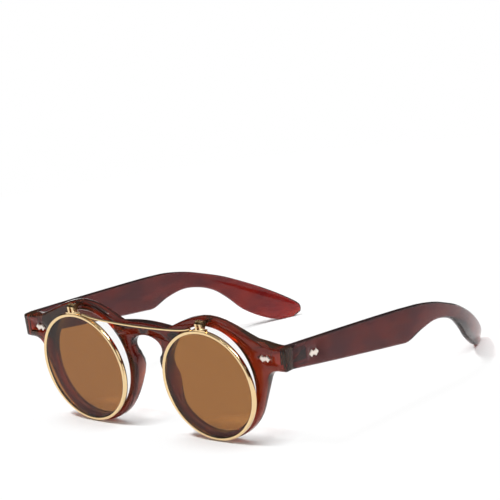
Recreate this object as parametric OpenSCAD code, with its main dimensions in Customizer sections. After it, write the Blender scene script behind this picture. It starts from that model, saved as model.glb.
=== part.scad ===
// Round sunglasses with a moulded plastic front and a flip-up unit of tinted lenses.
// They stand open on the lower rims and on the temple tips. X runs across the face,
// Y back along the temples and Z up. Left and right are the wearer's: left is +X.

/* [Plastic front] */
// Overall width across the endpieces
front_w = 143; // [135:0.5:175]
// Distance between the centres of the eye openings
eye_spacing = 65.8; // [60:0.2:80]
// Diameter of each eye opening
eye_d = 43.4; // [36:0.2:46]
// Width of the plastic wall round the lower half of each opening
rim_wall = 3; // [2.2:0.1:4]
// Thickness of the front, from face to back
front_t = 4.2; // [3.6:0.1:5.5]
// Radius of the front's slight curve, seen from above
front_curve_r = 900; // [500:50:2500]
// Forward lean of the front as the glasses stand
front_lean = 1.5; // [0:0.5:6]
// Height of the plastic brow over the wall of the opening
brow_t = 3.8; // [3:0.1:6]
// Rounding of the front's outer edges
edge_r = 0.9; // [0.4:0.1:1.1]

/* [Bridge and nose] */
// Height of the top of the bridge above the eye centres
bridge_h = 20.2; // [18:0.1:22]
// Half width of the bridge, out to the notch beside each brow
notch_u = 13.3; // [11:0.1:15]
// Depth of those notches below the top of the bridge
notch_drop = 1; // [0.4:0.1:2]
// Height of the top of the keyhole above the eye centres
keyhole_top = 14.7; // [12:0.1:16]
// Width of the keyhole
keyhole_w = 16.4; // [14:0.2:18]
// Height of the keyhole's widest place above the eye centres
keyhole_v = 9.6; // [8:0.1:11]
// Narrowest gap for the nose, at the top of the nose pads
nose_gap = 12.3; // [11:0.1:14]
// How far the moulded nose pads stand out behind the front
pad_depth = 3.8; // [2:0.1:5]

/* [Endpieces] */
// Height of the top of the endpiece above the eye centres
end_top = 15.7; // [14:0.1:17]
// Height of the underside of the endpiece above the eye centres
end_bottom = 6.4; // [5:0.1:7.5]
// Depth of the endpiece at its outer side
end_t = 4.2; // [3.8:0.1:5.5]
// Radius of the hollow under the endpiece
end_fillet_r = 5.6; // [4:0.1:8]

/* [Clear lenses] */
// Thickness of a clear lens
clear_t = 1.6; // [1.2:0.1:1.8]
// Depth of the clear lens behind the face of the front
clear_depth = 1.5; // [1.2:0.1:1.8]
// Radius of the clear lens's curve
clear_curve_r = 210; // [120:10:500]
// Height of the bevel that holds a lens in its groove
bevel_h = 0.7; // [0.4:0.1:0.8]

/* [Temples] */
// Length of a temple from its hinge to the back of the tip
temple_len = 139; // [120:1:165]
// Height of the temple where it meets the front
temple_h = 9.6; // [8.5:0.1:10]
// Greatest height of the temple, before its bend
temple_wide = 14.1; // [11:0.1:17]
// Height of the narrow neck at the bend
neck_h = 6.4; // [5:0.1:9]
// Height of the paddle at the tip
paddle_h = 12.2; // [9:0.1:14]
// How far the tip drops below the hinge
tip_drop = 26.3; // [20:0.1:34]
// Thickness of the temple at the hinge
temple_t = 3.5; // [3.2:0.1:4.5]
// Thickness of the temple at its tip
tip_t = 2.6; // [2:0.1:3.5]
// How far the tips curve in towards the head
tip_curve = 21; // [5:0.5:28]
// Angle that each temple opens outwards
temple_splay = 0.6; // [0:0.1:3]

/* [Temple hinges] */
// Outer diameter of the hinge barrel
barrel_d = 3; // [2.6:0.1:3.4]
// Height of the hinge barrel, with all five knuckles
barrel_h = 6; // [5:0.1:7]
// Diameter of the hinge screw
hinge_screw_d = 1.3; // [1:0.1:1.5]

/* [Flip-up unit] */
// Outer diameter of a metal flip rim
flip_d = 45.9; // [42:0.1:50]
// Width of the metal rim, seen from the front
flip_rim_w = 1.3; // [1:0.1:2]
// Depth of the metal rim
flip_rim_t = 1.9; // [1.6:0.1:2.4]
// Distance between the centres of the flip rims
flip_spacing = 67.8; // [64:0.2:74]
// Lean of the hanging flip unit
flip_lean = 4.9; // [3:0.1:6]
// Thickness of a tinted lens
tint_t = 1.4; // [1:0.1:1.6]
// Height of the bridge bar
bar_h = 1; // [0.8:0.1:1.6]
// How far the bar sags between its ends
bar_sag = 1.9; // [0.5:0.1:3]

/* [Flip hinges] */
// Distance of the flip axis in front of the face of the front
flip_axis_out = 3.2; // [2.8:0.1:4.5]
// Distance between the flip axis and the top of the flip rims
flip_rise = 2.5; // [1.8:0.1:3]
// Distance from the flip rim's centre line out to its hinge
flip_hinge_offset = 0.9; // [0:0.1:2]
// Radius of the fork's rounded ears
ear_r = 1.5; // [1.3:0.1:1.8]
// Thickness of each ear
ear_t = 1; // [0.7:0.1:1.4]
// Thickness of the knuckle between the ears
knuckle_t = 1.1; // [1:0.1:2]
// Diameter of the flip hinge screw
flip_screw_d = 1.2; // [0.8:0.1:1.4]

/* [Rivets] */
// Length of the double-diamond rivet head
rivet_w = 5.6; // [4:0.1:7]
// Height of the double-diamond rivet head
rivet_h = 2.8; // [2:0.1:3.4]
// How far the rivet head stands above the plastic
rivet_proud = 0.3; // [0.1:0.05:0.5]

/* [Hidden] */
$fn = 64;

// Clearances
seat_gap = 0.02;
run_gap = 0.05;
seam_gap = 0.06;

// Eye openings and the outline of the front
eye_x = eye_spacing / 2;
eye_r = eye_d / 2;
rim_r = eye_r + rim_wall;
half_w = front_w / 2;
brow_h = eye_r + brow_t;
brow_u = eye_x + 0.9;
brow_end_u = half_w - 3.5;
notch_v = bridge_h - notch_drop;
rim_start = -23;
rim_end = -160;
waist = [nose_gap / 2, 4.6];
corner_r = 0.9;
ring_in_r = eye_r - 0.8;
pad_top_v = 5.2;
pad_bottom_v = -15;
pad_splay = 0.42;

// Temple, in its own frame with the hinge axis as its origin
hinge_back = barrel_d / 2 + 0.3;
temple_in = barrel_d / 2 - 0.2;
temple_out = temple_in + temple_t;
temple_top = temple_h / 2 - 0.3;
temple_front = seam_gap - hinge_back;
bend_y = 0.49 * temple_len;
// Its ribs: how far back and how high its top and bottom edges are
base_len = 138;
base_drop = 26.3;
tip_y = temple_len - 10;
along_k = temple_len / base_len;
drop_k = tip_drop / base_drop;
slim = temple_top - temple_wide;
ribs = [
    [temple_front, temple_top, temple_front, temple_top - temple_h],
    [18 * along_k, temple_top + 0.1, 18 * along_k, mix(temple_top - temple_h, slim, 0.35)],
    [40 * along_k, temple_top + 0.1, 40 * along_k, mix(temple_top - temple_h, slim, 0.69)],
    [60 * along_k, temple_top, 60 * along_k, slim + 0.1],
    [68.5 * along_k, temple_top - 0.2, 67 * along_k, slim],
    [77 * along_k, temple_top - 0.65, 75 * along_k, mix(slim, -4.9, 0.6)],
    [87 * along_k, 2.3 * drop_k, 84.5 * along_k, 2.3 * drop_k - neck_h - 0.8],
    [96 * along_k, -0.1 * drop_k, 93.5 * along_k, -0.1 * drop_k - 0.9 * neck_h],
    [105.5 * along_k, -3.1 * drop_k, 101 * along_k, -3.1 * drop_k - 0.86 * neck_h],
    [114.5 * along_k, -7 * drop_k, 107.5 * along_k, -7 * drop_k - 0.52 * paddle_h],
    [124 * along_k, -11.7 * drop_k, 113.8 * along_k, -11.7 * drop_k - 0.62 * paddle_h],
    [132.5 * along_k, -16.8 * drop_k, 121 * along_k, -16.8 * drop_k - 0.56 * paddle_h],
    [temple_len - 0.5, -20.7 * drop_k, tip_y, -tip_drop],
    [temple_len, -24 * drop_k, temple_len - 3.2, -tip_drop + 0.1]];
rib_last = len(ribs) - 1;
edge_points = [for (s = [0:0.25:rib_last]) each [[rib(s)[0], rib(s)[1]], [rib(s)[2], rib(s)[3]]]];

// Flip unit: its axis on the front, and its rims below the axis
flip_r = flip_d / 2;
flip_x = flip_spacing / 2;
flip_hinge_x = flip_x + flip_hinge_offset;
axis_below_brow = 1.25;
flip_axis_v = brow_h - axis_below_brow;
flip_drop = flip_rise + flip_r;
flip_wrap = asin(flip_x / front_curve_r) * 0.9;
rim_front = -ear_r;
rim_back = rim_front + flip_rim_t;
tint_front = rim_front + (flip_rim_t - tint_t) / 2;
tint_bevel = 0.35;
stem_h = 1.4;
stem_in = 2.4;

// Height of the eye centres: the front or the flip rims stand on the floor
lip = edge_r + bulge(eye_x);
front_below = rim_r * cos(front_lean) - lip * sin(front_lean);
flip_below = (flip_drop + flip_r) * cos(flip_lean) + ear_r * sin(flip_lean)
    - flip_axis_v * cos(front_lean) + flip_axis_out * sin(front_lean);
eye_z = max(front_below, flip_below);
flip_axis_y = -flip_axis_out * cos(front_lean) - flip_axis_v * sin(front_lean);
flip_axis_z = eye_z + flip_axis_v * cos(front_lean) - flip_axis_out * sin(front_lean);

// Places of the temple hinges: on the front, and down to the floor at the tips
hinge_x = half_w - 5.5;
hinge_v = (end_top + end_bottom) / 2 + 0.2;
hinge_z = eye_z + hinge_v * cos(front_lean) + (bulge(half_w) + end_t + hinge_back) * sin(front_lean);
slope = min([for (p = edge_points) if (p[0] > bend_y) asin(hinge_z / norm(p)) + atan2(p[1], p[0])]);
tilt = front_lean + slope;
hinge_w = bulge(half_w) + end_t + hinge_back / cos(tilt);
hinge_y = hinge_w * cos(front_lean) - hinge_v * sin(front_lean);

// Places of the rivets: on the temple, and on the front
rivet_y = 10.7;
rivet_z = -1;
front_rivet_u = half_w - 10.2;
front_rivet_v = hinge_v + 0.1;

// The object's depth, which puts the origin in the middle of its footprint
front_y = flip_axis_y - ear_r;
back_y = hinge_y + max([for (p = edge_points) p[0] * cos(slope) + p[1] * sin(slope)]);
mid_y = (front_y + back_y) / 2;

function bulge(u) = u * u / (2 * front_curve_r);
function mix(a, b, t) = a + (b - a) * t;
function ease(t) = let (s = min(max(t, 0), 1)) s * s * (3 - 2 * s);
function arc(c, r, a, b, n) = [for (i = [0:n]) c + r * [cos(mix(a, b, i / n)), sin(mix(a, b, i / n))]];
function bezier(a, b, c, t) = mix(mix(a, b, t), mix(b, c, t), t);
function unit(v) = v / norm(v);
function reversed(list) = [for (i = [len(list) - 1:-1:0]) list[i]];

// Outline of the left half of the front, from the top of the bridge out and round,
// back to the top of the keyhole
function bridge_top() = [for (i = [0:4]) let (u = notch_u * i / 4)
    [u, notch_v + notch_drop * cos(90 * i / 4)]];
function brow_inner() = [for (i = [1:6])
    [mix(notch_u, brow_u, i / 6), mix(brow_h, notch_v, 1 - cos(90 * (1 - i / 6)))]];
function brow_outer() = [for (i = [1:9])
    [mix(brow_u, brow_end_u, i / 9), mix(end_top, brow_h, (1 + cos(180 * i / 9)) / 2)]];
function end_side() = concat(
    arc([half_w - corner_r, end_top - corner_r], corner_r, 90, 0, 2),
    arc([half_w - corner_r - 0.3, end_bottom + corner_r], corner_r, 0, -90, 2));
fillet_v = end_bottom - end_fillet_r;
fillet_u = eye_x + (rim_r + end_fillet_r - fillet_v * sin(rim_start)) / cos(rim_start);
function underside() = arc([fillet_u, fillet_v], end_fillet_r, 90, 180 + rim_start, 4);
function lower_rim() = arc([eye_x, 0], rim_r, rim_start, rim_end, 17);
rim_last = [eye_x, 0] + rim_r * [cos(rim_end), sin(rim_end)];
flank_ctrl = rim_last + 9 * [sin(rim_end), -cos(rim_end)];
function nose_flank() = [for (i = [1:4]) bezier(rim_last, flank_ctrl, waist, i / 4)];
function keyhole() = [for (a = [-36:14:90])
    [keyhole_w / 2 * cos(a), keyhole_v + (keyhole_top - keyhole_v) * sin(a)]];
outline = concat(bridge_top(), brow_inner(), brow_outer(), end_side(),
    underside(), lower_rim(), nose_flank(), keyhole());
last = len(outline) - 1;

// Where a point of the outline is joined to the ring round the eye opening
function ring_angle(p) = atan2(p[1], min(max(p[0] - eye_x, -18), 18));
function turned(p, past) = let (a = ring_angle(p)) a > past + 150 ? a - 360 : a;
ring_start = ring_angle(outline[0]);
ring_angles = [for (i = 0, a = ring_start; i <= last;
    i = i + 1, a = i > last ? a : min(a - 0.3, turned(outline[i], a))) a];

function along(i) = i == 0 ? [1, 0] : i == last ? [-1, 0] :
    unit(unit(outline[i + 1] - outline[i]) + unit(outline[i] - outline[i - 1]));
function inward(i) = let (d = along(i)) [d[1], -d[0]];

// Back of the front: even in thickness, flat where the temple closes on the endpiece,
// and raised into the nose pad
function seam_w(v) = hinge_w + (v - hinge_v) * tan(tilt) - hinge_back / cos(tilt);
function back_w(p) = mix(bulge(p[0]) + front_t, seam_w(p[1]), ease((p[0] - brow_end_u + 12) / 5));
function pad(p) = p[0] > eye_x - 12 || p[1] > pad_top_v || p[1] < pad_bottom_v ? 0 :
    pad_depth * sin(180 * pow((p[1] - pad_bottom_v) / (pad_top_v - pad_bottom_v), 1.5));

// One section of the front, from the eye opening out over the face, round the edge
// and back over the rear
function section(i) =
    let (p = outline[i], n = inward(i), a = ring_angles[i], lift = pad(p),
        r = edge_r, q = mix(edge_r, 0.35, ease((p[0] - brow_end_u + 8) / 4)),
        ring = [eye_x, 0] + ring_in_r * [cos(a), sin(a)],
        face_in = p + n * r, back_in = p + n * (q + pad_splay * lift),
        face_mid = mix(face_in, ring, 0.5), back_mid = mix(back_in, ring, 0.5))
    concat(
        [[ring[0], bulge(ring[0]), ring[1]], [face_mid[0], bulge(face_mid[0]), face_mid[1]]],
        [for (k = [0:3]) let (e = p + n * r * (1 - sin(30 * k)))
            [e[0], bulge(e[0]) + r * (1 - cos(30 * k)), e[1]]],
        [for (k = [3:-1:0]) let (e = p + n * (q * (1 - sin(30 * k)) + pad_splay * lift))
            [e[0], back_w(e) + lift - q * (1 - cos(30 * k)), e[1]]],
        [[back_mid[0], back_w(back_mid) + 0.8 * lift, back_mid[1]],
            [ring[0], back_w(ring), ring[1]]]);

// Closed skin over a loop of sections
module loop_skin(sections) {
    n = len(sections);
    m = len(sections[0]);
    points = [for (s = sections) each s];
    faces = [for (i = [0:n - 1]) for (k = [0:m - 1])
        let (a = i * m + k, b = i * m + (k + 1) % m,
            c = (i + 1) % n * m + (k + 1) % m, d = (i + 1) % n * m + k)
        each [[a, b, c], [a, c, d]]];
    polyhedron(points, faces);
}

// Skin over a row of sections, closed flat at both ends
module row_skin(sections) {
    n = len(sections);
    m = len(sections[0]);
    points = [for (s = sections) each s];
    faces = concat([[for (k = [m - 1:-1:0]) k]],
        [for (i = [0:n - 2]) for (k = [0:m - 1])
            let (a = i * m + k, b = i * m + (k + 1) % m, c = a + m, d = b + m)
            each [[a, b, d], [a, d, c]]],
        [[for (k = [0:m - 1]) (n - 1) * m + k]]);
    polyhedron(points, faces);
}

// Frames that the pieces are built in
module stand() translate([0, -mid_y, 0]) children();
module on_front() stand() translate([0, 0, eye_z]) rotate([front_lean, 0, 0]) children();
module at_hinge() stand() translate([hinge_x, hinge_y, hinge_z]) rotate([-slope, 0, 0]) children();
module on_flip() stand() translate([0, flip_axis_y, flip_axis_z]) rotate([flip_lean, 0, 0]) children();
module right() mirror([1, 0, 0]) children();
// Local Z points back through the eye opening
module at_eye() translate([eye_x, bulge(eye_x), 0]) rotate([0, 0, asin(eye_x / front_curve_r)])
    rotate([-90, 0, 0]) children();
module at_flip_eye(side) translate([side * flip_x, rim_front, -flip_drop])
    rotate([0, 0, side * flip_wrap]) rotate([-90, 0, 0]) children();

// Lens section in the groove of its rim, with the depth along Y
function lens_side(r, depth, t, rise) =
    [[r, depth], [r + rise, depth + t / 2], [r, depth + t]];
function dished(r, depth, bow) = [for (i = [0:10]) let (x = r * i / 10)
    [x, depth + bow * (x * x / (r * r) - 1)]];
clear_bow = eye_r * eye_r / (2 * clear_curve_r);
clear_r = eye_r - 0.05;
tint_r = flip_r - flip_rim_w - 0.05;

module eye_cutter() {
    flare = 0.5;
    rotate_extrude($fn = 128) polygon(concat(
        [[0, -3], [eye_r + flare + 0.3, -3], [eye_r + flare + 0.3, -0.3], [eye_r, flare]],
        lens_side(eye_r, clear_depth - seat_gap, clear_t + 2 * seat_gap, bevel_h + seat_gap),
        [[eye_r, front_t + pad_depth + 3], [0, front_t + pad_depth + 3]]));
}

module half_front() {
    difference() {
        loop_skin([for (i = [0:last]) section(i)]);
        at_eye() eye_cutter();
        translate([flip_hinge_x, 0, flip_axis_v]) stem(seat_gap);
        front_rivet_place() rivet(seat_gap);
        hinge_in_front() front_anchor(seat_gap);
    }
}

module frame_front() color([0.45, 0.12, 0.07]) on_front() {
    half_front();
    right() half_front();
}

module clear_lens() at_eye() rotate_extrude($fn = 128) polygon(concat(
    dished(clear_r, clear_depth, clear_bow),
    [[clear_r + bevel_h, clear_depth + clear_t / 2]],
    reversed(dished(clear_r, clear_depth + clear_t, clear_bow))));
module clear_lens_left() color([0.93, 0.96, 0.97]) on_front() clear_lens();
module clear_lens_right() color([0.93, 0.96, 0.97]) on_front() right() clear_lens();

// Decorative rivet: two facetted diamonds side by side on a short post, Z out of the plastic
module diamonds(grow) {
    step = rivet_w / 2 - rivet_h / 2;
    for (s = [-1, 1]) translate([s * step / 1.15, 0])
        rotate(45) square((rivet_h + 2 * grow) / sqrt(2) + 0.25, center = true);
}
module rivet(grow) {
    sunk = 0.3;
    post_r = 0.8;
    translate([0, 0, -sunk - grow]) linear_extrude(sunk + grow + (grow > 0 ? 2 : 0)) diamonds(grow);
    translate([0, 0, -2 - grow]) cylinder(h = 2, r = post_r + grow, $fn = 32);
    if (grow == 0) linear_extrude(rivet_proud, scale = 0.82) diamonds(0);
}
module front_rivet_place() translate([front_rivet_u, bulge(front_rivet_u), front_rivet_v])
    rotate([0, 0, asin(front_rivet_u / front_curve_r)]) rotate([90, 0, 0]) children();
module front_rivet_left() color([0.87, 0.85, 0.82]) on_front() front_rivet_place() rivet(0);
module front_rivet_right() color([0.87, 0.85, 0.82]) on_front() right() front_rivet_place() rivet(0);

// Five-knuckle barrel hinge, moulded into both sides. The front's leaf has three knuckles.
knuckle_n = 5;
pitch = barrel_h / knuckle_n;
anchor_h = barrel_h - 0.8;
web_w = 2.2;
module knuckles(first) {
    for (i = [first:2:knuckle_n - 1]) translate([0, 0, pitch * (i - knuckle_n / 2) + run_gap / 2])
        children();
}
module knuckle(dx, dy) {
    h = pitch - run_gap;
    difference() {
        union() {
            cylinder(h = h, d = barrel_d, $fn = 48);
            translate([min(dx[0], dx[1]), min(dy[0], dy[1]), 0])
                cube([abs(dx[1] - dx[0]), abs(dy[1] - dy[0]), h]);
        }
        translate([0, 0, -1]) cylinder(h = h + 2, d = hinge_screw_d + 2 * run_gap, $fn = 32);
    }
}
module front_anchor(grow) {
    depth = 3.2;
    flange = 0.9;
    flange_w = 4.2;
    translate([-web_w / 2 - grow, -hinge_back - depth - grow, -anchor_h / 2 - grow])
        cube([web_w + 2 * grow, depth + 0.1 + grow, anchor_h + 2 * grow]);
    translate([-flange_w / 2 - grow, -hinge_back - depth - grow, -anchor_h / 2 - grow])
        cube([flange_w + 2 * grow, flange + 2 * grow, anchor_h + 2 * grow]);
}
// The hinge frame as seen from the front's own frame
module hinge_in_front() translate([hinge_x, hinge_w, hinge_v]) rotate([-tilt, 0, 0]) children();
module front_leaf() {
    knuckles(0) knuckle([-web_w / 2, web_w / 2], [-hinge_back, 0]);
    front_anchor(0);
}
module front_hinge_leaf_left() color([0.55, 0.5, 0.47]) at_hinge() front_leaf();
module front_hinge_leaf_right() color([0.55, 0.5, 0.47]) right() at_hinge() front_leaf();

leaf_x = temple_in + 0.8;
leaf_t = 0.9;
leaf_len = 8;
module temple_anchor(grow) {
    translate([leaf_x - grow, -0.6 - grow, -anchor_h / 2 - grow])
        cube([leaf_t + 2 * grow, leaf_len + 2 * grow, anchor_h + 2 * grow]);
    if (grow > 0) translate([0, 0, -barrel_h / 2 - 0.15]) {
        cylinder(h = barrel_h + 0.3, r = barrel_d / 2 + 0.25, $fn = 48);
        translate([0, -web_w / 2 + 0.1, 0.4]) cube([leaf_x + 0.1, web_w, barrel_h - 0.5]);
    }
}
module temple_leaf() {
    knuckles(1) knuckle([0, leaf_x + 0.1], [-web_w / 2 + 0.3, web_w / 2 - 0.2]);
    temple_anchor(0);
}
module temple_hinge_leaf_left() color([0.55, 0.5, 0.47]) at_hinge() temple_leaf();
module temple_hinge_leaf_right() color([0.55, 0.5, 0.47]) right() at_hinge() temple_leaf();

module screw(d, len, head_d, head_h, slot) {
    translate([0, 0, -len]) cylinder(h = len, d = d, $fn = 32);
    difference() {
        cylinder(h = head_h, d = head_d, $fn = 32);
        translate([-head_d, -slot / 2, head_h / 2]) cube([2 * head_d, slot, head_h]);
    }
}
module hinge_screw() translate([0, 0, barrel_h / 2])
    screw(hinge_screw_d, barrel_h, barrel_d - 0.6, 0.6, 0.35);
module hinge_screw_left() color([0.8, 0.78, 0.75]) at_hinge() hinge_screw();
module hinge_screw_right() color([0.8, 0.78, 0.75]) right() at_hinge() hinge_screw();

function cubic(a, b, c, d, t) =
    0.5 * (2 * b + (c - a) * t + (2 * a - 5 * b + 4 * c - d) * t * t + (3 * b - a - 3 * c + d) * t * t * t);
function rib(s) = let (i = min(floor(s), rib_last - 1))
    cubic(ribs[max(i - 1, 0)], ribs[i], ribs[i + 1], ribs[min(i + 2, rib_last)], s - i);
function sweep_in(y) = tip_curve * pow(max(y - bend_y, 0) / (temple_len - bend_y), 2)
    - y * tan(temple_splay);
function temple_section(s) =
    let (b = rib(s), top = [b[0], b[1]], low = [b[2], b[3]], up = unit(top - low),
        t = mix(temple_t, tip_t, ease(s / rib_last)), end = max(s - rib_last + 1, 0),
        thin = t / 2 * (1 - 0.45 * end * end), r = min(1.15, thin - 0.1), h = norm(top - low))
    [for (q = [0:3]) for (j = [0:3])
        let (a = 90 * q + 30 * j,
            sx = q == 0 || q == 3 ? 1 : -1, sy = q < 2 ? 1 : -1,
            x = sx * (thin - r) + r * cos(a), v = h / 2 + sy * (h / 2 - r) + r * sin(a),
            p = low + up * v)
        [temple_out - t / 2 + x - sweep_in(p[0]), p[0], p[1]]];

module temple() difference() {
    row_skin([for (s = [0:0.25:rib_last]) temple_section(s)]);
    temple_anchor(seat_gap);
    temple_rivet_place() rivet(seat_gap);
}
module temple_left() color([0.42, 0.12, 0.09]) at_hinge() temple();
module temple_right() color([0.42, 0.12, 0.09]) right() at_hinge() temple();

module temple_rivet_place() translate([temple_out - sweep_in(rivet_y), rivet_y, rivet_z])
    rotate([0, 0, -temple_splay]) rotate([90, 0, 90]) children();
module temple_rivet_left() color([0.87, 0.85, 0.82]) at_hinge() temple_rivet_place() rivet(0);
module temple_rivet_right() color([0.87, 0.85, 0.82]) right() at_hinge() temple_rivet_place() rivet(0);

// Flip hinges: a knuckle on a stem moulded into the brow, between the ears of a fork
// soldered to the flip rim
module stem(grow) {
    flange_t = 0.8;
    flange_w = knuckle_t + 1.2;
    end = bulge(flip_hinge_x) + stem_in;
    translate([-knuckle_t / 2 - grow, -flip_axis_out, -stem_h / 2 - grow])
        cube([knuckle_t + 2 * grow, flip_axis_out + end + grow, stem_h + 2 * grow]);
    translate([-flange_w / 2 - grow, end - flange_t - grow, -stem_h / 2 - grow])
        cube([flange_w + 2 * grow, flange_t + 2 * grow, stem_h + 2 * grow]);
}
knuckle_below = 0.3;
module across(d, w) rotate([0, 90, 0]) cylinder(h = w, d = d, center = true, $fn = 48);
module flip_base() difference() {
    union() {
        stem(0);
        translate([0, -flip_axis_out, 0]) across(2 * (ear_r - knuckle_below), knuckle_t);
    }
    translate([0, -flip_axis_out, 0]) across(flip_screw_d + 2 * run_gap, 2 * knuckle_t);
}
module flip_hinge_base(side) color([0.8, 0.68, 0.42]) on_front()
    translate([side * flip_hinge_x, 0, flip_axis_v]) flip_base();
module flip_hinge_base_left() flip_hinge_base(1);
module flip_hinge_base_right() flip_hinge_base(-1);

slot_w = knuckle_t + 2 * run_gap;
fork_w = slot_w + 2 * ear_t;
plate_w = fork_w + 3;
plate_t = 0.5;
ear_sunk = 0.4;
module ear() rotate([90, 0, 90]) linear_extrude(ear_t) {
    circle(r = ear_r, $fn = 48);
    polygon([[-ear_r, 0], [ear_r, 0], [rim_back, -flip_rise - ear_sunk], [-ear_r, -flip_rise - ear_sunk]]);
}
module flip_hinge_fork(side) color([0.93, 0.78, 0.48]) on_flip() difference() {
    translate([side * flip_hinge_x, 0, 0]) {
        translate([slot_w / 2, 0, 0]) ear();
        translate([-fork_w / 2, 0, 0]) ear();
        translate([-plate_w / 2, rim_front, -flip_rise - ear_sunk])
            cube([plate_w, flip_rim_t, ear_sunk + plate_t]);
    }
    translate([side * flip_hinge_x, 0, 0]) across(flip_screw_d + seat_gap, 2 * fork_w);
    at_flip_eye(side) translate([0, 0, -1]) cylinder(h = flip_rim_t + 2, r = flip_r + seat_gap, $fn = 128);
}
module flip_hinge_fork_left() flip_hinge_fork(1);
module flip_hinge_fork_right() flip_hinge_fork(-1);

module flip_hinge_screw(side) color([0.93, 0.8, 0.52]) on_flip()
    translate([side * flip_hinge_x + fork_w / 2, 0, 0]) rotate([0, 90, 0])
        screw(flip_screw_d, fork_w + 0.2, 2 * ear_r - 0.2, 0.5, 0.3);
module flip_hinge_screw_left() flip_hinge_screw(1);
module flip_hinge_screw_right() flip_hinge_screw(-1);

module flip_rim(side) color([0.93, 0.78, 0.48]) on_flip() at_flip_eye(side) {
    c = 0.25;
    in_r = flip_r - flip_rim_w;
    rotate_extrude($fn = 128) polygon(concat(
        [[in_r + c, flip_rim_t], [flip_r - c, flip_rim_t], [flip_r, flip_rim_t - c],
            [flip_r, c], [flip_r - c, 0], [in_r + c, 0]],
        lens_side(in_r, tint_front - rim_front - seat_gap, tint_t + 2 * seat_gap, tint_bevel + seat_gap)));
}
module flip_rim_left() flip_rim(1);
module flip_rim_right() flip_rim(-1);

module tinted_lens(side) color([0.62, 0.44, 0.26]) on_flip() at_flip_eye(side)
    rotate_extrude($fn = 128) polygon(concat([[0, tint_front - rim_front]],
        lens_side(tint_r, tint_front - rim_front, tint_t, tint_bevel),
        [[0, tint_front - rim_front + tint_t]]));
module tinted_lens_left() tinted_lens(1);
module tinted_lens_right() tinted_lens(-1);

// Bar between the flip rims: it lies on top of each rim, leaves it and sags a little
bar_lie = 101;
bar_leave = 106;
bar_mid_r = flip_r + bar_h / 2;
function on_rim(a) = [flip_x, -flip_drop] + bar_mid_r * [cos(a), sin(a)];
bar_middle = [0, on_rim(bar_lie)[1] - bar_sag];
bar_half = concat([for (a = [bar_lie:1:bar_leave]) on_rim(a)],
    [for (i = [1:8]) bezier(on_rim(bar_leave),
        [on_rim(bar_leave)[0] - 6, bar_middle[1] + 0.15], bar_middle, i / 8)]);
bar_line = concat(bar_half, [for (i = [len(bar_half) - 2:-1:0]) [-bar_half[i][0], bar_half[i][1]]]);
function bar_normal(i) = let (n = len(bar_line) - 1,
    d = unit(bar_line[min(i + 1, n)] - bar_line[max(i - 1, 0)])) [d[1], -d[0]];
module flip_bridge_bar() color([0.93, 0.78, 0.48]) on_flip() difference() {
    translate([0, rim_back, 0]) rotate([90, 0, 0]) linear_extrude(flip_rim_t) polygon(concat(
        [for (i = [0:len(bar_line) - 1]) bar_line[i] + bar_normal(i) * bar_h / 2],
        [for (i = [len(bar_line) - 1:-1:0]) bar_line[i] - bar_normal(i) * bar_h / 2]));
    for (side = [-1, 1]) at_flip_eye(side)
        translate([0, 0, -1]) cylinder(h = flip_rim_t + 2, r = flip_r + seat_gap, $fn = 128);
}

frame_front();
clear_lens_left();
clear_lens_right();
front_rivet_left();
front_rivet_right();
front_hinge_leaf_left();
front_hinge_leaf_right();
temple_hinge_leaf_left();
temple_hinge_leaf_right();
hinge_screw_left();
hinge_screw_right();
temple_left();
temple_right();
temple_rivet_left();
temple_rivet_right();
flip_hinge_base_left();
flip_hinge_base_right();
flip_hinge_fork_left();
flip_hinge_fork_right();
flip_hinge_screw_left();
flip_hinge_screw_right();
flip_rim_left();
flip_rim_right();
tinted_lens_left();
tinted_lens_right();
flip_bridge_bar();
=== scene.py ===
"""Round flip up sunglasses: the looks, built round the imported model."""

import math

import bmesh
import bpy
import numpy as np
from bpy.props import FloatProperty, FloatVectorProperty, IntProperty, PointerProperty
from mathutils import Euler, Matrix, Vector


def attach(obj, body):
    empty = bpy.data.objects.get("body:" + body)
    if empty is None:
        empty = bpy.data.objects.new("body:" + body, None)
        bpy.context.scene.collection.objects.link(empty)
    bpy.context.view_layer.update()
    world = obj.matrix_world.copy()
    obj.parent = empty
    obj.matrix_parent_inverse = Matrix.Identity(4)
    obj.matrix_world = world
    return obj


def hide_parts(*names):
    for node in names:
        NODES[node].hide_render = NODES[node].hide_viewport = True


bl_info = {
    "name": "Flip up sunglasses",
    "version": (1, 0, 0),
    "blender": (4, 5, 0),
    "location": "3D View > Sidebar > Sunglasses",
    "description": "Builds the visual pieces of round flip up sunglasses on their packed model",
    "category": "Add Mesh",
}

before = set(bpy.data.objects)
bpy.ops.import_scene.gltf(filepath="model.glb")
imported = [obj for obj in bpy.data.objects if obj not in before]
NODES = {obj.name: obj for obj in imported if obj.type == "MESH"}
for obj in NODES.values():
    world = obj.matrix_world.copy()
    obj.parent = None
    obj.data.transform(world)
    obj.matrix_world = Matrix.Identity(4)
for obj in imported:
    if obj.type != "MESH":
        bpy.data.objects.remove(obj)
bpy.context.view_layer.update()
MM = 0.001
MERGE = 0.002 * MM
SIDES = ("left", "right")

# Directions, and the least cosine between two that count as the same
FORWARD = (0, -1, 0)
BACKWARD = (0, 1, 0)
UPWARD = (0, 0, 1)
LEFTWARD = (1, 0, 0)
OUTWARD = {"left": LEFTWARD, "right": (-1, 0, 0)}
SAME_WAY = 0.98

# Colours and roughness of the finishes
WHITE = (1, 1, 1)
# Dark and pale shares of the plastic's skin, for its flow and for the painted shade round the bridge and
# painted glow towards the endpieces
DARK_FLOW_AND_SHADE = (0.62, 0.74, 1.25)
PALE_FLOW_AND_GLOW = (1.16, 1.14, 1)
# Share of the way to the endpieces where the front's painted shade turns into painted glow
SHADE_TO_GLOW = 0.6
GLOSS_CHANGE = 0.05
LENS_POLISH = 0.01
CLOUD_SHARE = 0.6
WORN_SHADE = 0.86

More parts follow.
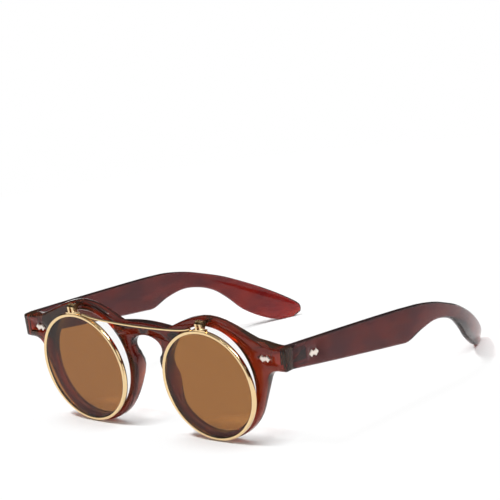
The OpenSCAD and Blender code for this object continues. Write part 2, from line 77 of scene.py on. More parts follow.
# Degrees round a rim between which the bar lies on it, and the bend of the bar between the rims
BAR_LIES_FROM = 101
BAR_LEAVES_AT = 106
BAR_STEPS = 16
BAR_BEND_IN = 6 * MM
BAR_BEND_UP = 0.15 * MM

# Shares of a rivet's half width
RIVET_SHOULDER = 0.9
RIVET_CROWN = 0.66
RIVET_NECK = 0.62

# Levels below a rivet's top, as shares of its height above the plastic
CROWN_BOTTOM = 0.45
FOOT_BOTTOM = 2
NECK_TOP = 0.04
NECK_BOTTOM = 1.94

# Shares of a screw head's radius
SCREW_CROWN = 0.86
CUTTER_REACH = 3

# Where the pair stands on the floor, and which way the bright wall is
EYE_FEET = [(x * MM, -62 * MM, 0) for x in (-36, -28, 30, 38)]
TIP_FEET = [(x * MM, 69 * MM, 0) for x in (-66, 66)]
MIDDLE = (0, 0, 0)
BRIGHT_WALL = (0.68, 0.73, 0)


def colour(name, default, text):
    """A colour that a user can change."""
    return FloatVectorProperty(
        name=name, description=text, subtype="COLOR", size=3, min=0, max=1, default=default
    )


def length(name, default, text):
    """A length in metres that a user can change."""
    return FloatProperty(name=name, description=text, unit="LENGTH", default=default, precision=5)


def number(name, default, text, top=100000):
    """A plain number that a user can change."""
    kind = "FACTOR" if top == 1 else "NONE"
    return FloatProperty(name=name, description=text, subtype=kind, default=default, min=0, max=top)


def sharp(degrees, text):
    """The angle past which edges stay crisp, which a user can change."""
    return FloatProperty(
        name="Sharp angle", description=text, subtype="ANGLE", default=math.radians(degrees))


class SunglassPlastic(bpy.types.PropertyGroup):
    """Colours and gloss of the moulded plastic."""

    front: colour("Front", (0.73, 0.35, 0.05), "Colour that the front's plastic lets through")
    temple: colour("Temple", (0.64, 0.125, 0.06), "Colour that the temples' plastic lets through")
    front_skin: colour("Front skin", (0.86, 0.4, 0.19), "Colour that the front's surface adds")
    temple_skin: colour("Temple skin", (0.77, 0.24, 0.2), "Colour that the temples' surface adds")
    clearness: number("Clearness", 0.975, "Share of the light that passes the plastic's surface", 1)
    bend: number("Refraction", 1.4, "Refractive index of the plastic", 3)
    front_density: number("Front density", 1300, "How fast the front's plastic darkens with depth")
    temple_density: number("Temple density", 1600, "How fast the temples' plastic darkens with depth")
    polish: number("Polish", 0.05, "Roughness of the polished plastic", 1)
    shadow: colour("Shadow", (0.5, 0.36, 0.3), "Colour that the plastic gives the lamps' light")
    sharp_angle: sharp(38, "Edges sharper than this stay crisp")


class SunglassMetal(bpy.types.PropertyGroup):
    """Colours and sizes of the metal pieces."""

    gold: colour("Gold", (0.94, 0.69, 0.38), "Colour of the flip unit's plated metal")
    # A darker copy of the plated gold: painted shade on the flip hinges' stems and screws
    old_gold: colour("Old gold", (0.35, 0.24, 0.13), "Colour of the flip hinges' stems and screws")
    silver: colour("Silver", (0.95, 0.85, 0.76), "Colour of the rivets and of the barrel hinges' screws")
    steel: colour("Hinge", (0.78, 0.34, 0.22), "Colour of the barrel hinges' leaves")
    rim_width: length("Rim width", 1.3 * MM, "Width of a metal rim, seen from the front")
    rim_rounding: length("Rim rounding", 0.3 * MM, "Rounding of the metal rim's edges")
    seat_height: length("Lens seat height", 1.44 * MM, "Height of the groove for a tinted lens")
    seat_depth: length("Lens seat depth", 0.37 * MM, "Depth of the groove for a tinted lens")
    rim_steps: IntProperty(
        name="Rim steps", description="Number of steps round a metal rim", default=160, min=24)
    bar_height: length("Bar height", 0.85 * MM, "Height of the bridge bar")
    bar_depth: length("Bar depth", 1 * MM, "Depth of the bridge bar")
    bar_rounding: length("Bar rounding", 0.27 * MM, "Rounding of the bridge bar's edges")
    bar_sag: length("Bar sag", 1.9 * MM, "How far the bar sags between its ends")
    rivet_half: length("Rivet half width", 1.577 * MM, "Half width of one diamond of a rivet")
    rivet_step: length("Rivet step", 1.217 * MM, "Distance from a rivet's middle to each diamond")
    rivet_proud: length("Rivet height", 0.3 * MM, "Height of a rivet above the plastic")
    rivet_post: length("Rivet post", 0.8 * MM, "Radius of the post that holds a rivet")
    sharp_angle: sharp(12, "Edges of a rivet sharper than this stay crisp")
    screw_slot: length("Screw slot", 0.32 * MM, "Width of the slot in a screw's head")
    hinge_screw_head: length("Hinge screw head", 0.6 * MM, "Height of a hinge screw's head")
    hinge_screw_radius: length("Hinge screw radius", 0.65 * MM, "Radius of a hinge screw's shank")
    flip_screw_head: length("Flip screw head", 0.5 * MM, "Height of a flip screw's head")
    flip_screw_radius: length("Flip screw radius", 0.6 * MM, "Radius of a flip screw's shank")


class SunglassLenses(bpy.types.PropertyGroup):
    """Colours of the lenses."""

    clear: colour("Clear", (0.97, 0.98, 0.98), "Colour of the clear lenses")
    tint: colour("Tint", (0.69, 0.44, 0.03), "Colour that the tinted lenses let through")
    tint_density: number("Tint density", 2150, "How fast a tinted lens darkens with depth")
    bend: number("Refraction", 1.36, "Refractive index of the lenses", 3)
    clear_shadow: colour("Clear shadow", (0.95, 0.95, 0.95), "Colour a clear lens gives the lamps' light")
    tint_shadow: colour("Tint shadow", (0.6, 0.45, 0.32), "Colour a tinted lens gives the lamps' light")
    sharp_angle: sharp(12, "Edges of a lens sharper than this stay crisp")


class SunglassStage(bpy.types.PropertyGroup):
    """Floor, lights and camera."""

    floor: colour("Floor", (0.8, 0.8, 0.8), "Colour of the floor")
    floor_size: length("Floor size", 12, "Length of the floor's sides")
    glow: number("Glow", 0.03, "White that the floor adds where it is seen", 1)
    glow_from: length("White from", 0.16, "Distance from the middle where the floor starts to turn white")
    glow_over: length("White over", 0.25, "Distance over which it turns white")
    shade_from: length("Shade from", 0.013, "Distance from where the pair stands at which the shade fades")
    shade_over: length("Shade over", 0.012, "Distance over which the shade fades")
    shade_loss: number("Shade loss", 0.93, "Share of the shade that is gone where it has faded", 1)
    sky_low: number("Low sky", 0.03, "Brightness of the whole room", 10)
    sky_high: number("High sky", 0.35, "Brightness of the room's ceiling", 10)
    sky_back: number("Back wall", 1, "Brightness that the bright wall adds", 10)
    key_power: number("Key", 8, "Power of the lamp above, in front and to the left")
    fill_power: number("Fill", 16, "Power of the large lamp overhead")
    strip_power: number("Strip", 2.2, "Power of the narrow lamp above and to the right")
    camera_at: FloatVectorProperty(
        name="Camera", description="Place of the camera", subtype="TRANSLATION", size=3,
        default=(0.827659, -0.876545, 0.370093))
    camera_turn: FloatVectorProperty(
        name="Camera turn", description="Turn of the camera", subtype="EULER", size=3,
        default=(math.radians(75.2533), math.radians(6.9030), math.radians(41.68825)))
    camera_lens: number("Lens", 219.852, "Focal length in millimetres")


class Val:
    """A value in a node tree. Python's operators add Math nodes to the tree."""

    def __init__(self, tree, socket):
        self.tree = tree
        self.socket = socket

    def math(self, operation, *others, swap=False):
        node = self.tree.nodes.new("ShaderNodeMath")
        node.operation = operation
        args = [self, *others]
        if swap:
            args.reverse()
        for slot, value in zip(node.inputs, args):
            plug(self.tree, slot, value)
        return Val(self.tree, node.outputs[0])

    def __add__(self, other):
        return self.math("ADD", other)

    def __sub__(self, other):
        return self.math("SUBTRACT", other)

    def __rsub__(self, other):
        return self.math("SUBTRACT", other, swap=True)

    def __mul__(self, other):
        return self.math("MULTIPLY", other)

    def __truediv__(self, other):
        return self.math("DIVIDE", other)

    def __rtruediv__(self, other):
        return self.math("DIVIDE", other, swap=True)

    def __neg__(self):
        return self.math("MULTIPLY", -1)

    __radd__ = __add__
    __rmul__ = __mul__

    def clamp(self):
        node = self.tree.nodes.new("ShaderNodeClamp")
        plug(self.tree, node.inputs[0], self)
        return Val(self.tree, node.outputs[0])

    def ramp(self, start, over):
        """A value that is 0 up to the start and grows to 1 over the given span."""
        return ((self - start) / over).clamp()

    def output(self, name):
        return Val(self.tree, self.socket.node.outputs[name])


def plug(tree, slot, value):
    """Links a value to a socket, or sets the socket's own number, colour or material."""
    if isinstance(value, Val):
        tree.links.new(value.socket, slot)
    elif slot.type == "RGBA" and len(value) == 3:
        slot.default_value = (*value, 1)
    else:
        slot.default_value = value


def find_slot(node, name):
    """A node's free input by its name, written with underscores, or by its number as in _1."""
    if name[0] == "_":
        return node.inputs[int(name[1:])]
    wanted = name.replace("_", " ").lower()
    for slot in node.inputs:
        if slot.name.lower() == wanted and slot.enabled:
            return slot
    raise KeyError(f"{node.bl_idname} has no input {name}")


class Tree:
    """A node tree under construction."""

    def __init__(self, tree):
        self.tree = tree
        tree.nodes.clear()

    def add(self, kind, settings=None, out=0, **slots):
        node = self.tree.nodes.new(kind)
        for name, value in (settings or {}).items():
            setattr(node, name, value)
        for name, value in slots.items():
            plug(self.tree, find_slot(node, name), value)
        return Val(self.tree, node.outputs[out]) if node.outputs else node


class Finish(Tree):
    """A material under construction."""

    def __init__(self, name):
        self.material = bpy.data.materials.new(name)
        self.material.use_nodes = True
        super().__init__(self.material.node_tree)
        self.place = self.add("ShaderNodeTexCoord", out="Object")

    def noise(self, scale, detail=2, roughness=0.5, stretch=(1, 1, 1)):
        place = self.add("ShaderNodeMapping", Vector=self.place, Scale=stretch)
        return self.add(
            "ShaderNodeTexNoise", Vector=place, Scale=scale, Detail=detail, Roughness=roughness)

    def mix(self, factor, low, high):
        mixer = self.add("ShaderNodeMix", {"data_type": "RGBA"}).socket.node
        plug(self.tree, mixer.inputs["Factor"], factor)
        first, second = [s for s in mixer.inputs if s.type == "RGBA"]
        plug(self.tree, first, low)
        plug(self.tree, second, high)
        return Val(self.tree, [s for s in mixer.outputs if s.type == "RGBA"][0])

    def bump(self, height, strength, distance):
        return self.add("ShaderNodeBump", Strength=strength, Distance=distance, Height=height)

    def principled(self, **slots):
        return self.add("ShaderNodeBsdfPrincipled", **slots)

    def distance(self, spot):
        """How far a point of the surface is from a spot."""
        return self.add(
            "ShaderNodeVectorMath", {"operation": "DISTANCE"}, out="Value", _0=self.place, _1=spot)

    def lets_lamps_through(self, surface, tint):
        """The surface, with a tinted see-through one in its place for rays towards the lamps."""
        shadow = self.add("ShaderNodeLightPath", out="Is Shadow Ray")
        open_way = self.add("ShaderNodeBsdfTransparent", Color=tint)
        return self.add("ShaderNodeMixShader", _0=shadow, _1=surface, _2=open_way)

    def done(self, surface, volume=None):
        out = self.tree.nodes.new("ShaderNodeOutputMaterial")
        plug(self.tree, out.inputs["Surface"], surface)
        if volume:
            plug(self.tree, out.inputs["Volume"], volume)
        return self.material


def toned(base, shares):
    """A colour with each of its parts scaled by its own share, and none past full."""
    return tuple(min(part * share, 1) for part, share in zip(base, shares))


def plastic_finish(name, skin, shade, density, look, painted_shade_and_glow=0):
    """Translucent moulded plastic, polished, with faint flow in its colour and gloss.

    With painted shade and glow, its skin is darker round the bridge as painted shade and paler towards the
    endpieces as painted glow."""
    f = Finish(name)
    flow = f.noise(scale=70, detail=3, roughness=0.55, stretch=(1, 1, 2.5))
    swirl = flow.ramp(start=0.34, over=0.32)
    across = f.add("ShaderNodeSeparateXYZ", Vector=f.place, out="X").math("ABSOLUTE")
    ends = across.ramp(start=15 * MM, over=45 * MM)
    # Painted shade round the bridge and painted glow towards the endpieces, on top of the flow
    flow_and_painted_light = (swirl + (ends - SHADE_TO_GLOW) * painted_shade_and_glow).clamp()
    fine = f.noise(scale=2600)
    surface = f.principled(
        Base_Color=f.mix(flow_and_painted_light, toned(skin, DARK_FLOW_AND_SHADE), toned(skin, PALE_FLOW_AND_GLOW)),
        Roughness=look.polish + fine * GLOSS_CHANGE,
        IOR=look.bend,
        Transmission_Weight=look.clearness,
        Normal=f.bump(flow, strength=0.08, distance=0.2 * MM),
    )
    return f.done(
        f.lets_lamps_through(surface, look.shadow),
        f.add("ShaderNodeVolumeAbsorption", Color=shade, Density=density))


def lens_finish(name, look, base, shadow, shade=None, density=0):
    """Polished lens, clear or tinted, with the faintest waviness."""
    f = Finish(name)
    wave = f.noise(scale=60, detail=1)
    surface = f.principled(
        Base_Color=base,
        Roughness=LENS_POLISH + wave * LENS_POLISH,
        IOR=look.bend,
        Transmission_Weight=1,
        Normal=f.bump(wave, strength=0.02, distance=0.1 * MM),
    )
    volume = f.add("ShaderNodeVolumeAbsorption", Color=shade, Density=density) if shade else None
    return f.done(f.lets_lamps_through(surface, shadow), volume)


def metal_finish(name, base, low, high, grain):
    """Polished or brushed metal: fine scratches vary its colour and roughness."""
    f = Finish(name)
    cloud = f.noise(scale=900, detail=3)
    scratch = f.noise(scale=grain, detail=2, roughness=0.6, stretch=(1, 6, 1))
    worn = (cloud * CLOUD_SHARE + scratch * (1 - CLOUD_SHARE)).clamp()
    dark = tuple(part * WORN_SHADE for part in base)
    return f.done(f.principled(
        Base_Color=f.mix(worn, dark, base),
        Metallic=1,
        Roughness=low + worn * (high - low),
        Normal=f.bump(scratch, strength=0.06, distance=0.05 * MM),
    ))


def metal(name):
    """One of the metal finishes, made when it is first asked for."""
    look = bpy.context.scene.sunglass_metal
    base, low, high, grain = {
        "polished_gold": (look.gold, 0.08, 0.2, 3000),
        "old_gold": (look.old_gold, 0.2, 0.35, 3000),
        "facetted_silver": (look.silver, 0.22, 0.36, 4000),
        "hinge_steel": (look.steel, 0.3, 0.45, 5000),
    }[name]
    return bpy.data.materials.get(name) or metal_finish(name, base, low, high, grain)


class Shape(Tree):
    """A Geometry Nodes tree under construction, with named inputs."""

    def __init__(self, name):
        self.name = name
        self.values = {}
        group = bpy.data.node_groups.new(name, "GeometryNodeTree")
        group.interface.new_socket("Geometry", in_out="OUTPUT", socket_type="NodeSocketGeometry")
        super().__init__(group)

    def given(self, name, value):
        """A named input, with the value that the modifier gives it."""
        kind = "NodeSocketInt" if isinstance(value, int) else "NodeSocketFloat"
        made = self.tree.interface.new_socket(name, in_out="INPUT", socket_type=kind)
        self.values[made.identifier] = value
        return Val(self.tree, self.tree.nodes.new("NodeGroupInput").outputs[name])

    def through(self, curve, points):
        """The curve, with each of its points moved to the place given for it."""
        index = self.add("GeometryNodeInputIndex")
        pick = self.tree.nodes.new("GeometryNodeIndexSwitch")
        pick.data_type = "VECTOR"
        while len(pick.index_switch_items) < len(points):
            pick.index_switch_items.new()
        plug(self.tree, pick.inputs["Index"], index)
        for i, (x, y) in enumerate(points):
            place = self.add("ShaderNodeCombineXYZ", X=x, Y=y)
            plug(self.tree, pick.inputs[i + 1], place)
        places = Val(self.tree, pick.outputs[0])
        return self.add("GeometryNodeSetPosition", Geometry=curve, Position=places)

    def outline(self, points):
        """A closed flat curve through the points."""
        return self.through(
            self.add("GeometryNodeCurvePrimitiveCircle", Resolution=len(points)), points)

    def track(self, points):
        """An open flat curve through the points."""
        line = self.add("GeometryNodeCurvePrimitiveLine")
        line = self.add("GeometryNodeResampleCurve", Curve=line, Count=len(points))
        return self.through(line, points)

    def joined(self, *shapes):
        join = self.add("GeometryNodeJoinGeometry").socket
        for shape in shapes:
            plug(self.tree, join.node.inputs[0], shape)
        return Val(self.tree, join)

    def moved(self, shape, x=0.0, z=0.0):
        place = self.add("ShaderNodeCombineXYZ", X=x, Z=z)
        return self.add("GeometryNodeTransform", Geometry=shape, Translation=place)

    def at(self, shape, places):
        """An instance of the shape at every place."""
        one = self.add("GeometryNodeGeometryToInstance", Geometry=shape)
        return self.joined(*[
            self.add(
                "GeometryNodeTransform", Geometry=one, Translation=place.to_translation(),
                Rotation=place.to_euler())
            for place in places])

    def grow(self, shape, material):
        """Ends the tree and turns what it makes into a plain mesh."""
        done = self.add("GeometryNodeRealizeInstances", Geometry=shape)
        done = self.add("GeometryNodeSetMaterial", Geometry=done, Material=material)
        self.add("NodeGroupOutput", Geometry=done)
        seed = bpy.data.objects.new(self.name, bpy.data.meshes.new(self.name))
        bpy.context.scene.collection.objects.link(seed)
        maker = seed.modifiers.new(self.name, "NODES")
        maker.node_group = self.tree
        for key, value in self.values.items():
            maker[key] = value
        graph = bpy.context.evaluated_depsgraph_get()
        mesh = bpy.data.meshes.new_from_object(seed.evaluated_get(graph))
        bpy.data.objects.remove(seed)
        if not mesh.polygons:
            raise RuntimeError(f"{self.name} came out empty")
        return mesh


def put(name, mesh, body, nodes, angle=None):
    """A finished piece: smooth, in its place, riding on its body instead of the CAD nodes."""
    mesh.name = name
    mesh.shade_smooth()
    mesh.set_sharp_from_angle(angle=angle or bpy.context.scene.sunglass_plastic.sharp_angle)
    piece = bpy.data.objects.new(name, mesh)
    bpy.context.scene.collection.objects.link(piece)
    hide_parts(*nodes)
    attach(piece, body)
    return piece


def welded(node, material):
    """A copy of a CAD node's mesh with its loose triangles joined."""
    mesh = NODES[node].data.copy()
    bm = bmesh.new()
    bm.from_mesh(mesh)
    bmesh.ops.remove_doubles(bm, verts=bm.verts, dist=MERGE)
    bm.to_mesh(mesh)
    bm.free()
    mesh.materials.clear()
    mesh.materials.append(material)
    return mesh


def copied(name, node, material, body, angle=None):
    """A smooth piece with the shape of a CAD node."""
    return put(name, welded(node, material), body, [node], angle)


def place_of(node, out):
    """Where a CAD piece is: Z looks out of its face that looks that way, X runs along the piece.

    The origin is in the middle of the piece, at its highest level. Its sizes come with it."""
    world = NODES[node].matrix_world
    spin = world.to_3x3()
    face = Vector()
    for p in NODES[node].data.polygons:
        n = spin @ p.normal
        if n.dot(Vector(out)) > SAME_WAY:
            face += n * p.area
    up = np.array(face.normalized())
    points = np.array([world @ v.co for v in NODES[node].data.vertices])
    flat = points - np.outer(points @ up, up)
    along = np.linalg.svd(flat - flat.mean(0), full_matrices=False)[2][0]
    turn = np.array([along, np.cross(up, along), up])
    local = points @ turn.T
    low, high = local.min(0), local.max(0)
    middle = (low + high) / 2
    middle[2] = high[2]
    place = Matrix(turn.tolist()).transposed().to_4x4()
    place.translation = Vector((turn.T @ middle).tolist())
    return place, high - low


class SUNGLASS_OT_front(bpy.types.Operator):
    """Make the moulded front"""

    bl_idname = "sunglass.front"
    bl_label = "Front"
    bl_options = {"REGISTER", "UNDO"}

    def execute(self, context):
        look = context.scene.sunglass_plastic
        # The front's skin carries painted shade round the bridge and painted glow at the endpieces
        plastic = plastic_finish(
            "front_moulding", look.front_skin, look.front, look.front_density, look, painted_shade_and_glow=1)
        copied("moulded_front", "frame_front", plastic, "front")
        return {"FINISHED"}


class SUNGLASS_OT_temples(bpy.types.Operator):
    """Make the two temples"""

    bl_idname = "sunglass.temples"
    bl_label = "Temples"
    bl_options = {"REGISTER", "UNDO"}

    def execute(self, context):
        look = context.scene.sunglass_plastic
        plastic = plastic_finish(
            "temple_moulding", look.temple_skin, look.temple, look.temple_density, look)
        for side in SIDES:
            copied(
                f"moulded_temple_{side}", f"temple_{side}", plastic, f"{side}_temple")
        return {"FINISHED"}


class SUNGLASS_OT_lenses(bpy.types.Operator):
    """Make the clear and the tinted lenses"""

    bl_idname = "sunglass.lenses"
    bl_label = "Lenses"
    bl_options = {"REGISTER", "UNDO"}

    def execute(self, context):
        look = context.scene.sunglass_lenses
        clear = lens_finish("clear_glass", look, look.clear, look.clear_shadow)
        tint = lens_finish(
            "tinted_glass", look, WHITE, look.tint_shadow, look.tint, look.tint_density)
        for side in SIDES:
            copied(
                f"clear_glass_{side}", f"clear_lens_{side}", clear, "front",
                look.sharp_angle)
            copied(
                f"tinted_glass_{side}", f"tinted_lens_{side}", tint, "flip_unit",
                look.sharp_angle)
        return {"FINISHED"}


def corner(across, along, size, start, steps=3):
    """Points on a quarter of a circle, from its centre, its radius and its start in degrees."""
    angles = [math.radians(start + 90 * i / steps) for i in range(steps + 1)]
    return [(across + size * math.cos(a), along + size * math.sin(a)) for a in angles]


def bezier(start, bend, end, t):
    """A point on the curve from start to end that is pulled towards the bend."""
    return tuple(
        (1 - t) ** 2 * a + 2 * t * (1 - t) * b + t * t * c for a, b, c in zip(start, bend, end))


class SUNGLASS_OT_rims(bpy.types.Operator):
    """Make the metal rims of the flip-up unit"""

    bl_idname = "sunglass.rims"
    bl_label = "Metal rims"
    bl_options = {"REGISTER", "UNDO"}

    def execute(self, context):
        look = context.scene.sunglass_metal
        nodes = [f"flip_rim_{side}" for side in SIDES]
        places = [place_of(node, BACKWARD) for node in nodes]
        size = places[0][1]
        shape = Shape("metal_rims")
        radius = shape.given("Outer radius", float(size[0] / 2))
        depth = shape.given("Depth", float(size[2]))
        width = shape.given("Width", look.rim_width)
        turn = shape.given("Rounding", look.rim_rounding)
        high = shape.given("Seat height", look.seat_height)
        deep = shape.given("Seat depth", look.seat_depth)
        steps = shape.given("Steps", look.rim_steps)
        section = shape.outline([
            *corner(-turn, turn, turn, -90),
            *corner(-turn, depth - turn, turn, 0),
            (turn - width, depth),
            (-width, depth / 2 + high / 2),
            (deep - width, depth / 2),
            (-width, depth / 2 - high / 2),
            (turn - width, 0),
        ])
        path = shape.add(
            "GeometryNodeCurvePrimitiveCircle", {"mode": "RADIUS"}, Resolution=steps, Radius=radius)
        ring = shape.add("GeometryNodeCurveToMesh", Curve=path, Profile_Curve=section)
        mesh = shape.grow(shape.at(ring, [place for place, _ in places]), metal("polished_gold"))
        put("metal_rims", mesh, "flip_unit", nodes)
        return {"FINISHED"}


class SUNGLASS_OT_bar(bpy.types.Operator):
    """Make the bridge bar of the flip-up unit"""

    bl_idname = "sunglass.bar"
    bl_label = "Bridge bar"
    bl_options = {"REGISTER", "UNDO"}

    def execute(self, context):
        look = context.scene.sunglass_metal
        place, size = place_of("flip_bridge_bar", BACKWARD)
        rim, rim_size = place_of("flip_rim_left", BACKWARD)
        if place.col[0][0] < 0:
            place = place @ Matrix.Rotation(math.pi, 4, "Z")
        eye = place.inverted() @ rim.to_translation()
        reach = rim_size[0] / 2 + look.bar_height / 2

        def on_rim(degrees):
            a = math.radians(degrees)
            return eye.x + reach * math.cos(a), eye.y - reach * math.sin(a)

        leave = on_rim(BAR_LEAVES_AT)
        middle = (0, on_rim(BAR_LIES_FROM)[1] + look.bar_sag)
        bend = (leave[0] - BAR_BEND_IN, middle[1] - BAR_BEND_UP)
        half = [on_rim(degrees) for degrees in range(BAR_LIES_FROM, BAR_LEAVES_AT)]
        half += [bezier(leave, bend, middle, i / BAR_STEPS) for i in range(BAR_STEPS + 1)]
        points = [*half, *[(-x, y) for x, y in reversed(half[:-1])]]
        shape = Shape("bridge_bar")
        section = shape.add(
            "GeometryNodeCurvePrimitiveQuadrilateral",
            Width=shape.given("Height", look.bar_height),
            Height=shape.given("Depth", look.bar_depth))
        section = shape.add(
            "GeometryNodeFilletCurve", {"mode": "POLY"}, Curve=section, Count=3,
            Radius=shape.given("Rounding", look.bar_rounding))
        bar = shape.add(
            "GeometryNodeCurveToMesh", Curve=shape.track(points), Profile_Curve=section, Fill_Caps=True)
        bar = shape.moved(bar, z=shape.given("Level", float(-size[2] / 2)))
        mesh = shape.grow(shape.at(bar, [place]), metal("polished_gold"))
        put("bridge_bar", mesh, "flip_unit", ["flip_bridge_bar"])
        return {"FINISHED"}


class SUNGLASS_OT_hinges(bpy.types.Operator):
    """Make the leaves of the temple hinges and the flip hinges"""

    bl_idname = "sunglass.hinges"
    bl_label = "Hinges"
    bl_options = {"REGISTER", "UNDO"}

    def execute(self, context):
        # The flip stems take the darker gold, which is painted shade
        gold, dark, steel = metal("polished_gold"), metal("old_gold"), metal("hinge_steel")
        for side in SIDES:
            copied(f"flip_stem_{side}", f"flip_hinge_base_{side}", dark, "front")
            copied(f"flip_fork_{side}", f"flip_hinge_fork_{side}", gold, "flip_unit")
            copied(f"front_leaf_{side}", f"front_hinge_leaf_{side}", steel, "front")
            copied(
                f"temple_leaf_{side}", f"temple_hinge_leaf_{side}", steel, f"{side}_temple")
        return {"FINISHED"}


def diamond(shape, top, bottom, low, high):
    """A four-sided block between two levels, from its half widths at the top and the bottom."""
    block = shape.add(
        "GeometryNodeMeshCone", Vertices=4, Radius_Top=top, Radius_Bottom=bottom, Depth=high - low)
    return shape.moved(block, z=low)


def rivet(shape, look, length_over_all):
    """Two facetted diamonds, joined by a neck, on a post. The origin is at the top."""
    half = shape.given("Half width", look.rivet_half)
    step = shape.given("Step", look.rivet_step)
    proud = shape.given("Height", look.rivet_proud)
    post = shape.given("Post radius", look.rivet_post)
    deep = shape.given("Depth", length_over_all)
    shoulder, crown, neck = half * RIVET_SHOULDER, half * RIVET_CROWN, half * RIVET_NECK
    edge = proud * -CROWN_BOTTOM
    stack = shape.joined(
        diamond(shape, half, half, proud * -FOOT_BOTTOM, -proud),
        diamond(shape, shoulder, half, -proud, edge),
        diamond(shape, crown, shoulder, edge, 0))
    pin = shape.add("GeometryNodeMeshCylinder", Vertices=24, Radius=post, Depth=deep - proud)
    return shape.joined(
        shape.moved(stack, x=step),
        shape.moved(stack, x=-step),
        diamond(shape, neck, neck, proud * -NECK_BOTTOM, proud * -NECK_TOP),
        shape.moved(pin, z=(deep + proud) * -0.5))


class SUNGLASS_OT_rivets(bpy.types.Operator):
    """Make the facetted rivets"""

    bl_idname = "sunglass.rivets"
    bl_label = "Rivets"
    bl_options = {"REGISTER", "UNDO"}

    def execute(self, context):
        look = context.scene.sunglass_metal
        sets = [("front_rivets", "front", {f"front_rivet_{side}": FORWARD for side in SIDES})]
        for side in SIDES:
            nodes = {f"temple_rivet_{side}": OUTWARD[side]}
            sets.append((f"temple_rivet_head_{side}", f"{side}_temple", nodes))
        for name, body, nodes in sets:
            places = [place_of(node, out) for node, out in nodes.items()]
            shape = Shape(name)
            one = rivet(shape, look, float(places[0][1][2]))
            mesh = shape.grow(shape.at(one, [place for place, _ in places]), metal("facetted_silver"))
            put(name, mesh, body, list(nodes), look.sharp_angle)
        return {"FINISHED"}


def screw(shape, look, size, head, shank):
    """A slotted head on a shank. The origin is at the top."""
    radius = shape.given("Head radius", float(size[0] / 2))
    high = shape.given("Head height", head)
    pin = shape.given("Shank radius", shank)
    full = shape.given("Length", float(size[2]))
    groove = shape.given("Slot width", look.screw_slot)
    cap = shape.add(
        "GeometryNodeMeshCone", Vertices=40, Radius_Top=radius * SCREW_CROWN, Radius_Bottom=radius,
        Depth=high)
    cutter = shape.add(
        "GeometryNodeMeshCube",
        Size=shape.add("ShaderNodeCombineXYZ", X=radius * CUTTER_REACH, Y=groove, Z=high))
    cap = shape.add(
        "GeometryNodeMeshBoolean", {"operation": "DIFFERENCE"},
        Mesh_1=shape.moved(cap, z=-high), Mesh_2=cutter)
    rod = shape.add("GeometryNodeMeshCylinder", Vertices=32, Radius=pin, Depth=full - high)
    return shape.joined(cap, shape.moved(rod, z=(full + high) * -0.5))


class SUNGLASS_OT_screws(bpy.types.Operator):
    """Make the slotted screws of all hinges"""

    bl_idname = "sunglass.screws"
    bl_label = "Screws"
    bl_options = {"REGISTER", "UNDO"}

    def execute(self, context):
        look = context.scene.sunglass_metal
        # The flip screws take the darker gold, which is painted shade
        for name, body, node, out, head, shank, slot, finish in (
            ("temple_hinge_screws", "front", "hinge_screw", UPWARD,
             look.hinge_screw_head, look.hinge_screw_radius, "silver_metal", "facetted_silver"),
            ("flip_hinge_screws", "flip_unit", "flip_hinge_screw", LEFTWARD,
             look.flip_screw_head, look.flip_screw_radius, "gold_metal", "old_gold"),
        ):
            nodes = [f"{node}_{side}" for side in SIDES]
            places = [place_of(n, out) for n in nodes]
            shape = Shape(name)
            one = screw(shape, look, places[0][1], head, shank)
            mesh = shape.grow(shape.at(one, [place for place, _ in places]), metal(finish))
            put(name, mesh, body, nodes)
        return {"FINISHED"}


class SUNGLASS_OT_stage(bpy.types.Operator):
    """Make the floor, the lights and the camera"""

    bl_idname = "sunglass.stage"
    bl_label = "Stage"
    bl_options = {"REGISTER", "UNDO"}

    def execute(self, context):
        look = context.scene.sunglass_stage
        make_floor(look)
        make_world(context.scene, look)
        make_lamp(
            "key_lamp", place=(-0.25, -0.4, 1), aim=(0, 0, 0.02), size=(0.16, 0.16),
            power=look.key_power, mirrored=False)
        make_lamp(
            "fill_lamp", place=(0, 0.1, 1.6), aim=(0, 0, 0), size=(1.6, 1.6),
            power=look.fill_power, mirrored=False)
        make_lamp(
            "strip_lamp", place=(0.35, 0.25, 0.8), aim=(0, -0.05, 0.03), size=(0.05, 0.8),
            power=look.strip_power)
        make_camera(context.scene, look)
        context.scene.view_settings.view_transform = "Standard"
        return {"FINISHED"}


def make_floor(look):
    """A wide pale floor that is seen plain white, except close to where the pair stands."""
    half = look.floor_size / 2
    mesh = bpy.data.meshes.new("floor")
    mesh.from_pydata(
        [(-half, -half, 0), (half, -half, 0), (half, half, 0), (-half, half, 0)], [], [(0, 1, 2, 3)])
    f = Finish("floor")
    path = f.add("ShaderNodeLightPath", out="Is Camera Ray")
    seen = (path + path.output("Is Glossy Ray") + path.output("Is Transmission Ray")).clamp()
    cloth = f.add("ShaderNodeBsdfDiffuse", Color=look.floor)
    glow = f.add("ShaderNodeEmission", Color=WHITE, Strength=look.glow)
    near = f.add("ShaderNodeAddShader", _0=cloth, _1=glow)
    far = f.add("ShaderNodeEmission", Color=WHITE, Strength=1)
    nearest, *others = [f.distance(foot) for foot in (*EYE_FEET, *TIP_FEET)]
    for other in others:
        nearest = nearest.math("MINIMUM", other)
    faded = nearest.ramp(look.shade_from, look.shade_over) * look.shade_loss
    fade = faded.math("MAXIMUM", f.distance(MIDDLE).ramp(look.glow_from, look.glow_over))
    white = f.add("ShaderNodeMixShader", _0=fade, _1=near, _2=far)
    mesh.materials.append(f.done(f.add("ShaderNodeMixShader", _0=seen, _1=cloth, _2=white)))
    floor = bpy.data.objects.new("floor", mesh)
    bpy.context.scene.collection.objects.link(floor)


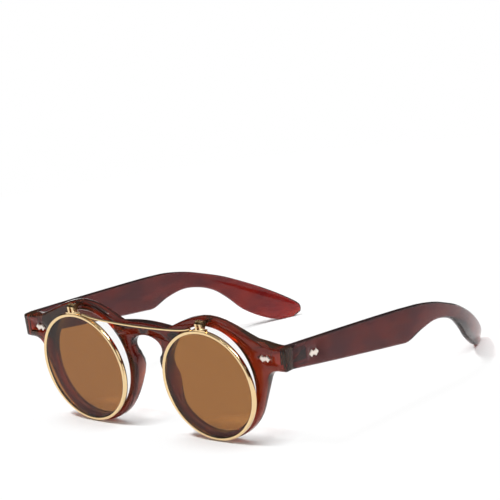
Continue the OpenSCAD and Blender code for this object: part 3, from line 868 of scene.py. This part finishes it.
def make_world(scene, look):
    """A dim room with a lighter ceiling, white where it is seen straight or through a piece."""
    world = bpy.data.worlds.new("studio")
    world.use_nodes = True
    scene.world = world
    t = Tree(world.node_tree)
    way = t.add("ShaderNodeTexCoord", out="Generated")
    up = t.add("ShaderNodeSeparateXYZ", Vector=way, out="Z")
    path = t.add("ShaderNodeLightPath", out="Is Camera Ray")
    seen = (path + path.output("Is Transmission Ray")).clamp()
    towards = t.add(
        "ShaderNodeVectorMath", {"operation": "DOT_PRODUCT"}, out="Value", _0=way, _1=BRIGHT_WALL)
    ceiling = up.ramp(start=0.45, over=0.4)
    wall = towards.ramp(start=0.45, over=0.4)
    light = look.sky_low + ceiling * (look.sky_high - look.sky_low) + wall * look.sky_back
    room = t.add("ShaderNodeBackground", Color=WHITE, Strength=light + seen * (1 - light))
    out = t.tree.nodes.new("ShaderNodeOutputWorld")
    plug(t.tree, out.inputs["Surface"], room)


def make_lamp(name, place, aim, size, power, mirrored=True):
    """A soft rectangular lamp that points at a place. Polished pieces show it if it is mirrored."""
    data = bpy.data.lights.new(name, "AREA")
    data.shape = "RECTANGLE"
    data.size, data.size_y = size
    data.energy = power
    lamp = bpy.data.objects.new(name, data)
    lamp.location = place
    lamp.visible_glossy = mirrored
    lamp.rotation_euler = (Vector(aim) - Vector(place)).to_track_quat("-Z", "Y").to_euler()
    bpy.context.scene.collection.objects.link(lamp)


def make_camera(scene, look):
    """The camera at the photographed view."""
    data = bpy.data.cameras.new("camera")
    data.lens = look.camera_lens
    data.sensor_width = 36
    data.clip_end = 20
    camera = bpy.data.objects.new("camera", data)
    camera.location = look.camera_at
    camera.rotation_euler = Euler(look.camera_turn)
    scene.collection.objects.link(camera)
    scene.camera = camera


OPERATORS = (
    SUNGLASS_OT_front,
    SUNGLASS_OT_temples,
    SUNGLASS_OT_lenses,
    SUNGLASS_OT_hinges,
    SUNGLASS_OT_rims,
    SUNGLASS_OT_bar,
    SUNGLASS_OT_rivets,
    SUNGLASS_OT_screws,
    SUNGLASS_OT_stage,
)


class SUNGLASS_PT_panel(bpy.types.Panel):
    """Sidebar panel with the sizes, colours and pieces"""

    bl_label = "Sunglasses"
    bl_space_type = "VIEW_3D"
    bl_region_type = "UI"
    bl_category = "Sunglasses"

    def draw(self, context):
        for group in SETTINGS:
            box = self.layout.box()
            for name in SETTINGS[group].__annotations__:
                box.prop(getattr(context.scene, group), name)
        for operator in OPERATORS:
            self.layout.operator(operator.bl_idname)


SETTINGS = {
    "sunglass_plastic": SunglassPlastic,
    "sunglass_metal": SunglassMetal,
    "sunglass_lenses": SunglassLenses,
    "sunglass_stage": SunglassStage,
}


def register():
    for cls in (*SETTINGS.values(), *OPERATORS, SUNGLASS_PT_panel):
        bpy.utils.register_class(cls)
    for name, cls in SETTINGS.items():
        setattr(bpy.types.Scene, name, PointerProperty(type=cls))


def unregister():
    for name in SETTINGS:
        delattr(bpy.types.Scene, name)
    for cls in (SUNGLASS_PT_panel, *OPERATORS, *SETTINGS.values()):
        bpy.utils.unregister_class(cls)


def main():
    """Registers the classes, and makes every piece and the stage."""
    register()
    for operator in OPERATORS:
        group, name = operator.bl_idname.split(".")
        getattr(getattr(bpy.ops, group), name)()


if __name__ == "__main__":
    main()
